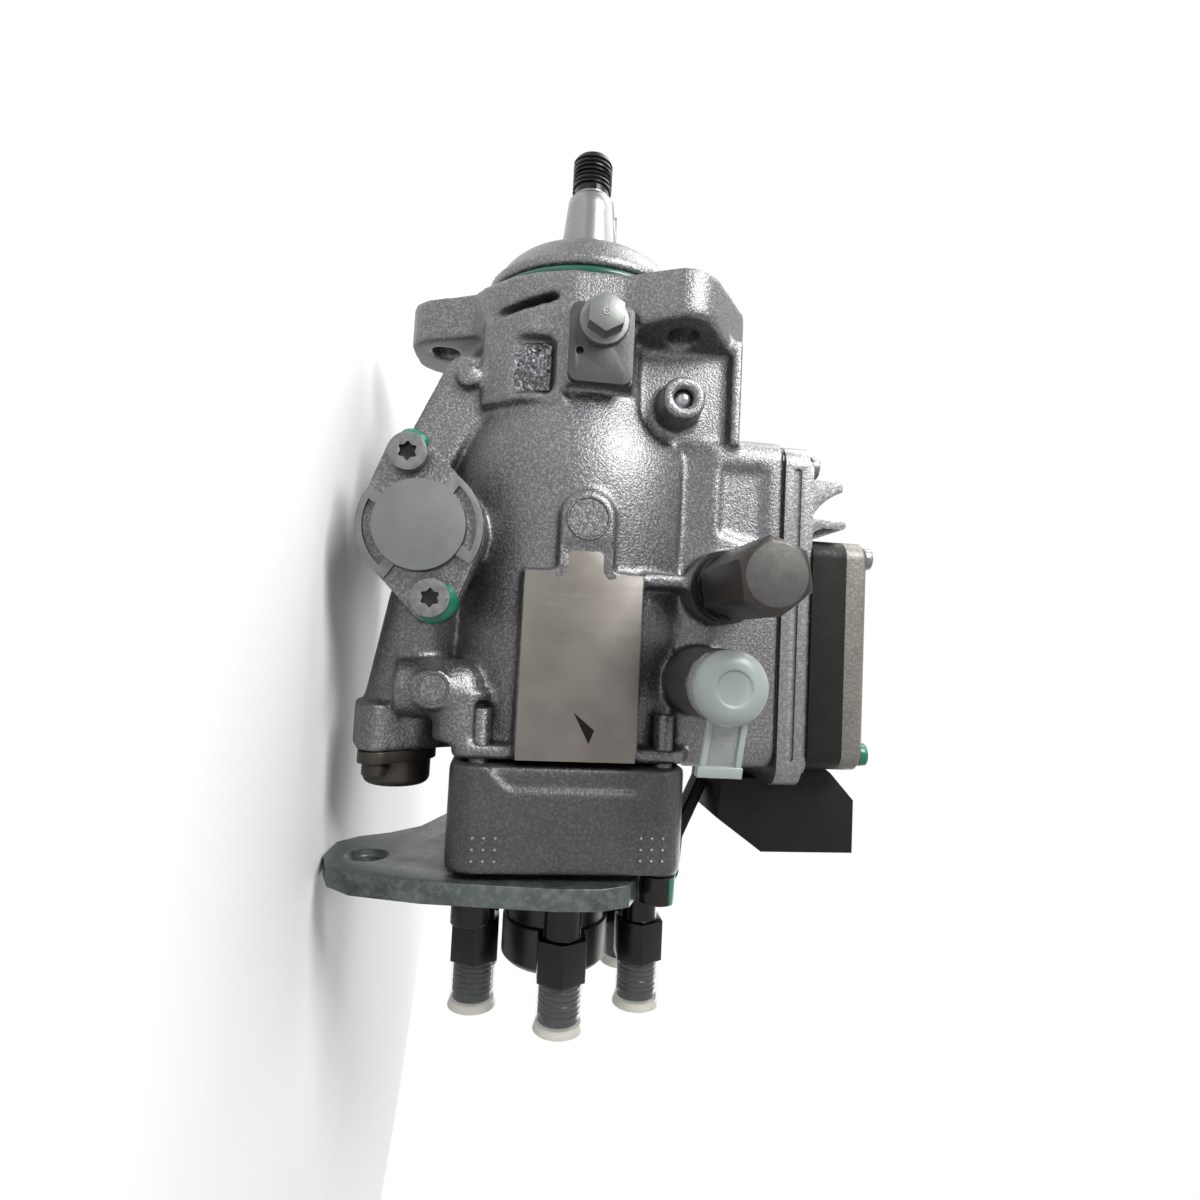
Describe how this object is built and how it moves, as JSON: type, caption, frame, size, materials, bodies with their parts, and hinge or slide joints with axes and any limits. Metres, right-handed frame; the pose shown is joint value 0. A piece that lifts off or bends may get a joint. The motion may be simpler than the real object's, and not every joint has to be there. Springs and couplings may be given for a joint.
{
  "type": "diesel injection pump",
  "caption": "Axial-piston distributor injection pump with tapered drive shaft, eared flange, side-mounted control unit, bracket plate and capped delivery outlets.",
  "frame": {"origin": "shaft axis at the flange's mounting face", "axes": "+X back along the shaft to the outlets, +Z to the control unit, -Y the side with the milled pad"},
  "size_m": [0.2833, 0.1377, 0.166],
  "materials": {
    "cast_aluminium": "silver paint on sand-cast aluminium",
    "turned_steel": "turned",
    "green_rubber": "satin",
    "black_rubber": "satin",
    "bronze": "turned",
    "hard_steel": "ground",
    "spring_steel": "drawn",
    "sensor_plastic": "moulded",
    "zinc_screws": "zinc plated",
    "olive_coating": "chromated",
    "phosphated_steel": "phosphated",
    "washer_steel": "plain",
    "milky_plastic": "translucent polyethylene",
    "pressed_aluminium": "die cast",
    "black_plastic": "moulded",
    "cast_iron": "grey paint on cast iron",
    "zinc_plate": "zinc plated",
    "solenoid_coating": "coated",
    "black_steel": "black oxide"
  },
  "bodies": {
    "casing": {"housing": "cast_aluminium", "timing_cover": "cast_aluminium", "spring_cover": "cast_aluminium", "lock_plate": "turned_steel", "lock_screw": "turned_steel", "ball_plug": "turned_steel", "timing_valve_screw": "turned_steel", "pilot_o_ring": "green_rubber", "shaft_seal": "black_rubber", "unit_gasket": "black_rubber", "front_bush": "bronze", "vane_ring": "hard_steel", "vane_plate": "hard_steel", "barrel": "hard_steel", "plunger_springs": "spring_steel", "timing_spring": "spring_steel", "timing_screws": "zinc_screws", "head_screws": "zinc_screws", "base_screws": "zinc_screws", "cover_screws": "zinc_screws", "timing_valve": "olive_coating", "overflow_valve": "phosphated_steel", "overflow_washer": "washer_steel", "unit_base": "pressed_aluminium", "unit_cover": "pressed_aluminium", "unit_box": "black_plastic", "connector": "black_plastic", "solenoid_lead": "black_plastic", "head": "cast_iron", "bracket_plate": "zinc_plate", "rear_solenoid": "solenoid_coating", "delivery_holders": "black_steel"},
    "drive": {"drive_shaft": "turned_steel", "shaft_key": "turned_steel", "vane_rotor": "hard_steel", "vanes": "hard_steel", "trigger_wheel": "hard_steel", "cross_disc": "hard_steel"},
    "cam": {"cam_plate": "hard_steel", "plunger": "hard_steel"},
    "yoke": {"spring_yoke": "hard_steel"},
    "advance": {"roller_ring": "hard_steel", "roller_pins": "hard_steel", "advance_pin": "hard_steel", "angle_sensor": "sensor_plastic"},
    "timing": {"timing_piston": "hard_steel"},
    "needle": {"solenoid_needle": "hard_steel"},
    "inlet_plug": {"inlet_cap": "milky_plastic"},
    "roller_body_1": {"roller_1": "hard_steel"},
    "outlet_cap_1": {"delivery_cap_1": "milky_plastic"},
    "roller_body_2": {"roller_2": "hard_steel"},
    "outlet_cap_2": {"delivery_cap_2": "milky_plastic"},
    "roller_body_3": {"roller_3": "hard_steel"},
    "outlet_cap_3": {"delivery_cap_3": "milky_plastic"},
    "roller_body_4": {"roller_4": "hard_steel"},
    "outlet_cap_4": {"delivery_cap_4": "milky_plastic"},
    "roller_body_5": {"roller_5": "hard_steel"},
    "outlet_cap_5": {"delivery_cap_5": "milky_plastic"},
    "roller_body_6": {"roller_6": "hard_steel"},
    "outlet_cap_6": {"delivery_cap_6": "milky_plastic"}
  },
  "joints": [
    {"name": "drive_spin", "type": "hinge", "parent": "casing", "child": "drive", "pos_m": [0, 0, 0], "axis": [1, 0, 0], "continuous": true},
    {"name": "cam_stroke", "type": "slide", "parent": "drive", "child": "cam", "axis": [-1, 0, 0], "range_m": [0, 0.0022]},
    {"name": "yoke_stroke", "type": "slide", "parent": "casing", "child": "yoke", "axis": [-1, 0, 0], "range_m": [0, 0.0022]},
    {"name": "advance_turn", "type": "hinge", "parent": "casing", "child": "advance", "pos_m": [0.0794, 0, 0], "axis": [1, 0, 0], "range_deg": [-6, 6]},
    {"name": "timing_slide", "type": "slide", "parent": "casing", "child": "timing", "axis": [0, 1, 0], "range_m": [-0.005, 0.005], "deforming": ["timing_spring"]},
    {"name": "needle_lift", "type": "slide", "parent": "casing", "child": "needle", "axis": [1, 0, 0], "range_m": [0, 0.0004]},
    {"name": "inlet_cap_pull", "type": "slide", "parent": "casing", "child": "inlet_plug", "axis": [0, -1, 0], "range_m": [0, 0.02]},
    {"name": "roller_1_spin", "type": "hinge", "parent": "advance", "child": "roller_body_1", "pos_m": [0.083, -0.0125, 0.02165], "axis": [0, -0.5, 0.866], "continuous": true},
    {"name": "outlet_cap_1_pull", "type": "slide", "parent": "casing", "child": "outlet_cap_1", "axis": [1, 0, 0], "range_m": [0, 0.02]},
    {"name": "roller_2_spin", "type": "hinge", "parent": "advance", "child": "roller_body_2", "pos_m": [0.083, -0.025, 0], "axis": [0, -1, 0], "continuous": true},
    {"name": "outlet_cap_2_pull", "type": "slide", "parent": "casing", "child": "outlet_cap_2", "axis": [1, 0, 0], "range_m": [0, 0.02]},
    {"name": "roller_3_spin", "type": "hinge", "parent": "advance", "child": "roller_body_3", "pos_m": [0.083, -0.0125, -0.02165], "axis": [0, -0.5, -0.866], "continuous": true},
    {"name": "outlet_cap_3_pull", "type": "slide", "parent": "casing", "child": "outlet_cap_3", "axis": [1, 0, 0], "range_m": [0, 0.02]},
    {"name": "roller_4_spin", "type": "hinge", "parent": "advance", "child": "roller_body_4", "pos_m": [0.083, 0.0125, -0.02165], "axis": [0, 0.5, -0.866], "continuous": true},
    {"name": "outlet_cap_4_pull", "type": "slide", "parent": "casing", "child": "outlet_cap_4", "axis": [1, 0, 0], "range_m": [0, 0.02]},
    {"name": "roller_5_spin", "type": "hinge", "parent": "advance", "child": "roller_body_5", "pos_m": [0.083, 0.025, 0], "axis": [0, 1, 0], "continuous": true},
    {"name": "outlet_cap_5_pull", "type": "slide", "parent": "casing", "child": "outlet_cap_5", "axis": [1, 0, 0], "range_m": [0, 0.02]},
    {"name": "roller_6_spin", "type": "hinge", "parent": "advance", "child": "roller_body_6", "pos_m": [0.083, 0.0125, 0.02165], "axis": [0, 0.5, 0.866], "continuous": true},
    {"name": "outlet_cap_6_pull", "type": "slide", "parent": "casing", "child": "outlet_cap_6", "axis": [1, 0, 0], "range_m": [0, 0.02]}
  ],
  "couplings": [
    {"joint": "yoke_stroke", "follows": "cam_stroke", "ratio": 1},
    {"joint": "timing_slide", "follows": "advance_turn", "m_per_rad": 0.046}
  ]
}
